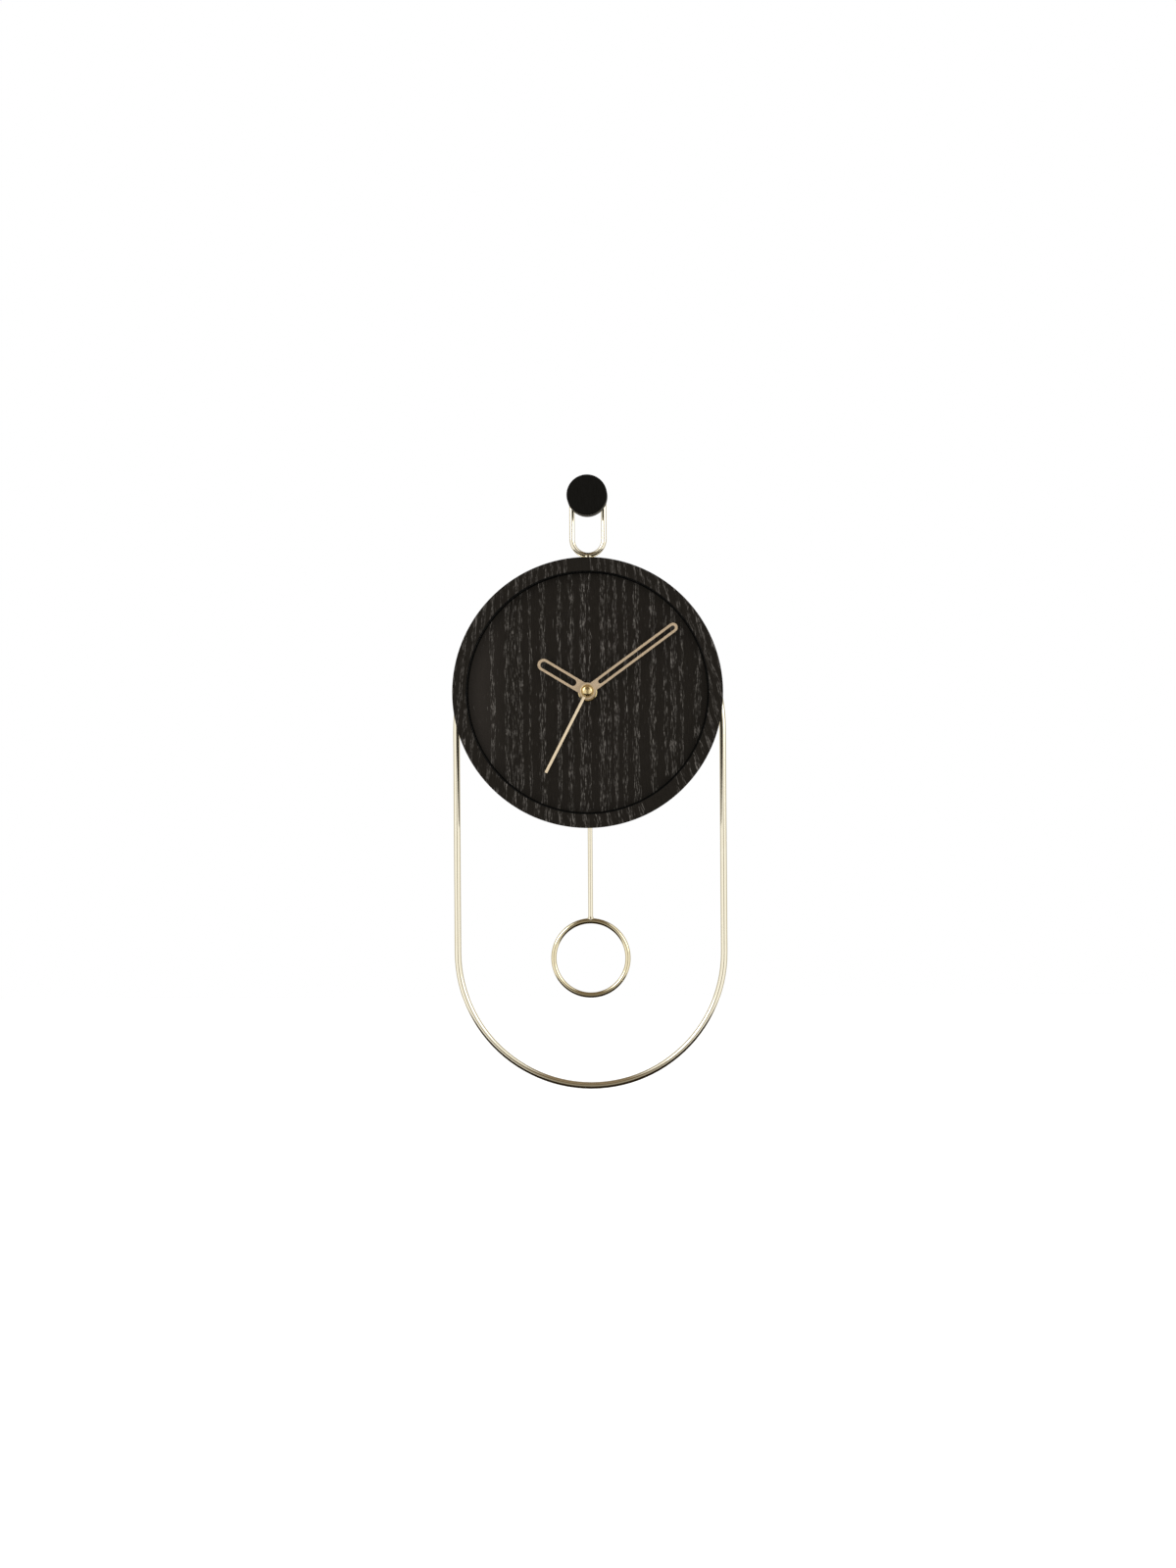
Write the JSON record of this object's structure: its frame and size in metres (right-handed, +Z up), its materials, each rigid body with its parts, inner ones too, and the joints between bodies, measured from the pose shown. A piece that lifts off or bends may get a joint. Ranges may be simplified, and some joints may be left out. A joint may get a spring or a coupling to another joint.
{
  "type": "pendulum wall clock",
  "caption": "Round black wooden wall clock on a bent gold rod frame that hangs from a knob by a small loop, with slotted copper hands and a ring pendulum.",
  "frame": {"origin": "where the axis of the wall plug and knob meets the wall surface", "axes": "+Y into the wall along the plug, +Z up, -Y towards the room, +X to the right of somebody facing the dial"},
  "size_m": [0.206, 0.0942, 0.4606],
  "materials": {
    "black_ash": "black stained open-pore ash veneer, pores limed pale grey, satin",
    "black_wood_knob": "black stained close-grained wood, satin",
    "fibreboard": "fibreboard painted matt black",
    "gold_rod": "polished pale gold plating",
    "copper_hand": "satin champagne copper",
    "gold_hand": "satin pale gold",
    "brass": "turned and polished",
    "steel": "bright zinc",
    "spring_steel": "nickel plated",
    "magnet": "sintered",
    "rubber": "matt",
    "black_plastic": "fine moulded texture",
    "white_plastic": "natural acetal",
    "nylon": "grey nylon",
    "black_resin": "epoxy blob",
    "circuit_laminate": "phenolic laminate",
    "coil_wire": "enamelled copper wire",
    "battery_sleeve": "printed sleeve without any text"
  },
  "bodies": {
    "wall_mount": {"wall_plug": "nylon", "hanger_bolt": "steel", "knob_insert": "brass", "wall_knob": "black_wood_knob"},
    "clock": {"hanging_loop": "gold_rod", "frame_loop": "gold_rod", "loop_weld": "gold_rod", "mounting_tabs": "gold_rod", "tab_screws": "steel", "case_ring": "fibreboard", "edge_veneer": "black_ash", "front_veneer": "black_ash", "dial_board": "fibreboard", "dial_veneer": "black_ash", "back_board": "fibreboard", "board_screws": "steel", "dial_washer": "brass", "fixing_nut": "brass", "rubber_washer": "rubber", "movement_housing": "black_plastic", "movement_cover": "black_plastic", "threaded_bushing": "brass", "hanger_pin": "brass", "train_plate": "black_plastic", "battery_contacts": "spring_steel", "circuit_board": "circuit_laminate", "quartz_crystal": "steel", "control_chip": "black_resin", "motor_stator": "steel", "coil_bobbin": "white_plastic", "motor_coil": "coil_wire", "pendulum_coil": "coil_wire"},
    "second_group": {"second_wheel": "white_plastic", "second_arbor": "steel", "second_hand": "gold_hand", "second_hand_boss": "brass"},
    "intermediate_gear": {"intermediate_wheel": "white_plastic"},
    "rotor": {"rotor_pinion": "white_plastic", "rotor_magnet": "magnet"},
    "third_gear": {"third_wheel": "white_plastic"},
    "centre_gear": {"centre_wheel": "brass"},
    "minute_group": {"minute_tube": "brass", "minute_hand": "copper_hand"},
    "minute_gear": {"minute_wheel": "white_plastic"},
    "hour_group": {"hour_wheel": "white_plastic", "hour_hand": "copper_hand"},
    "time_setting": {"setting_knob": "black_plastic"},
    "battery_cell": {"battery": "battery_sleeve"},
    "pendulum": {"pendulum_hanger": "black_plastic", "drive_magnet": "magnet", "pendulum_rod": "gold_rod", "pendulum_ring": "gold_rod", "pendulum_weld": "gold_rod"}
  },
  "joints": [
    {"name": "hang_sway", "type": "hinge", "parent": "wall_mount", "child": "clock", "pos_m": [0, -0.0105, 0], "axis": [0, 1, 0], "range_deg": [-10, 10]},
    {"name": "second_turn", "type": "hinge", "parent": "clock", "child": "second_group", "pos_m": [0, 0, -0.1469], "axis": [0, 1, 0], "continuous": true},
    {"name": "intermediate_turn", "type": "hinge", "parent": "clock", "child": "intermediate_gear", "pos_m": [0, 0, -0.1559], "axis": [0, 1, 0], "continuous": true},
    {"name": "rotor_turn", "type": "hinge", "parent": "clock", "child": "rotor", "pos_m": [-0.00875, 0, -0.1559], "axis": [0, 1, 0], "continuous": true},
    {"name": "third_turn", "type": "hinge", "parent": "clock", "child": "third_gear", "pos_m": [0, 0, -0.1379], "axis": [0, 1, 0], "continuous": true},
    {"name": "centre_turn", "type": "hinge", "parent": "clock", "child": "centre_gear", "pos_m": [0, 0, -0.1469], "axis": [0, 1, 0], "continuous": true},
    {"name": "minute_turn", "type": "hinge", "parent": "clock", "child": "minute_group", "pos_m": [0, 0, -0.1469], "axis": [0, 1, 0], "continuous": true},
    {"name": "minute_wheel_turn", "type": "hinge", "parent": "clock", "child": "minute_gear", "pos_m": [-0.0084, 0, -0.1469], "axis": [0, 1, 0], "continuous": true},
    {"name": "hour_turn", "type": "hinge", "parent": "clock", "child": "hour_group", "pos_m": [0, 0, -0.1469], "axis": [0, 1, 0], "continuous": true},
    {"name": "setting_turn", "type": "hinge", "parent": "clock", "child": "time_setting", "pos_m": [-0.0168, 0, -0.1469], "axis": [0, 1, 0], "continuous": true},
    {"name": "battery_slide", "type": "slide", "parent": "clock", "child": "battery_cell", "axis": [0, 1, 0], "range_m": [0, 0.0162]},
    {"name": "pendulum_swing", "type": "hinge", "parent": "clock", "child": "pendulum", "pos_m": [0, -0.01985, -0.13], "axis": [0, 1, 0], "range_deg": [-7, 7]}
  ],
  "couplings": [
    {"joint": "intermediate_turn", "follows": "second_turn", "ratio": -5},
    {"joint": "rotor_turn", "follows": "second_turn", "ratio": 30},
    {"joint": "third_turn", "follows": "second_turn", "ratio": -0.125},
    {"joint": "centre_turn", "follows": "second_turn", "ratio": 0.016667},
    {"joint": "minute_wheel_turn", "follows": "minute_turn", "ratio": -0.33333},
    {"joint": "hour_turn", "follows": "minute_turn", "ratio": 0.083333},
    {"joint": "setting_turn", "follows": "minute_turn", "ratio": 1}
  ]
}
